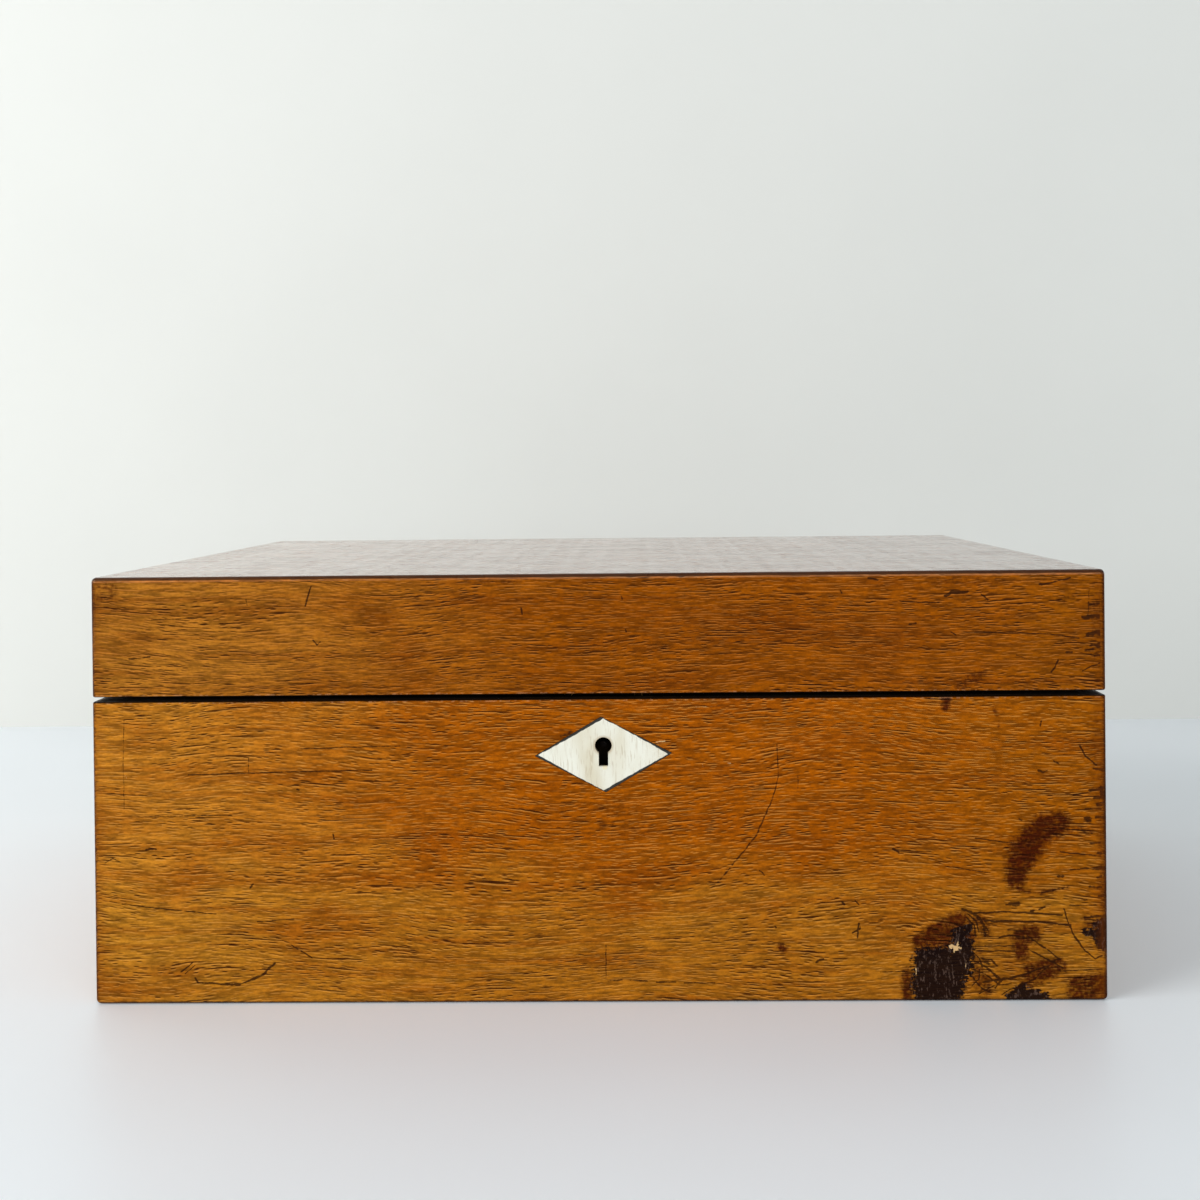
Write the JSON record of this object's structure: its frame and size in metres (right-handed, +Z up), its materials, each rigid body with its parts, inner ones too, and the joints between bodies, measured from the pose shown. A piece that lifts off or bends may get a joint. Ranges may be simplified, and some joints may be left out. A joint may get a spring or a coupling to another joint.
{
  "type": "sewing box",
  "caption": "Veneered wooden sewing box with a hinged lid, an inlaid bone keyhole plate, a box lock and a divided tray with padded lids and a pincushion.",
  "frame": {"origin": "centre of the underside of the base", "axes": "+Z up, X along the front with +X to the right as seen from the front, the front faces -Y"},
  "size_m": [0.3, 0.225, 0.127],
  "materials": {
    "veneer": "worn shellac over figured veneer",
    "carcass": "bare planed softwood, darkened with age",
    "tray_wood": "thin oiled mahogany",
    "bone": "polished bone",
    "brass": "dull old brass",
    "steel": "darkened steel",
    "lining_paper": "blue paper pasted on card",
    "satin": "soft satin"
  },
  "bodies": {
    "base": {"base_back_board": "carcass", "base_back_veneer": "veneer", "base_bottom_board": "carcass", "base_end_linings": "lining_paper", "base_floor_lining": "lining_paper", "base_front_board": "carcass", "base_front_veneer": "veneer", "base_left_board": "carcass", "base_left_veneer": "veneer", "base_long_linings": "lining_paper", "base_right_board": "carcass", "base_right_veneer": "veneer", "escutcheon": "bone", "hinge_base_screws": "brass", "hinge_pins": "brass", "left_hinge_base_leaf": "brass", "lock_cap": "brass", "lock_pins": "steel", "lock_plate": "brass", "lock_screws": "brass", "lock_spring": "steel", "right_hinge_base_leaf": "brass", "tray_bearers": "tray_wood"},
    "lid": {"hinge_lid_screws": "brass", "left_hinge_lid_leaf": "brass", "lid_back_board": "carcass", "lid_back_veneer": "veneer", "lid_end_linings": "lining_paper", "lid_front_board": "carcass", "lid_front_veneer": "veneer", "lid_left_board": "carcass", "lid_left_veneer": "veneer", "lid_long_linings": "lining_paper", "lid_padded_panel": "satin", "lid_right_board": "carcass", "lid_right_veneer": "veneer", "lid_top_board": "carcass", "lid_top_veneer": "veneer", "link_hooks": "brass", "link_plate": "brass", "link_plate_screws": "brass", "right_hinge_lid_leaf": "brass"},
    "bolt": {"lock_bolt": "brass"},
    "tray": {"pincushion": "satin", "tray_back_wall": "tray_wood", "tray_bottom": "tray_wood", "tray_cross_dividers": "tray_wood", "tray_front_wall": "tray_wood", "tray_left_divider": "tray_wood", "tray_left_wall": "tray_wood", "tray_lid_ledges": "tray_wood", "tray_right_divider": "tray_wood", "tray_right_wall": "tray_wood"},
    "left_cell_lid": {"left_cell_knob": "bone", "left_cell_lid": "tray_wood", "left_cell_pad": "satin"},
    "right_cell_lid": {"right_cell_knob": "bone", "right_cell_lid": "tray_wood", "right_cell_pad": "satin"}
  },
  "joints": [
    {"name": "lid_hinge", "type": "hinge", "parent": "base", "child": "lid", "pos_m": [0, 0.11, 0.0907], "axis": [-1, 0, 0], "range_deg": [0, 95]},
    {"name": "bolt_slide", "type": "slide", "parent": "base", "child": "bolt", "axis": [1, 0, 0], "range_m": [0, 0.005]},
    {"name": "tray_lift", "type": "slide", "parent": "base", "child": "tray", "axis": [0, 0, 1], "range_m": [0, 0.01]},
    {"name": "left_cell_lid_lift", "type": "slide", "parent": "tray", "child": "left_cell_lid", "axis": [0, 0, 1], "range_m": [0, 0.005]},
    {"name": "right_cell_lid_lift", "type": "slide", "parent": "tray", "child": "right_cell_lid", "axis": [0, 0, 1], "range_m": [0, 0.005]}
  ]
}
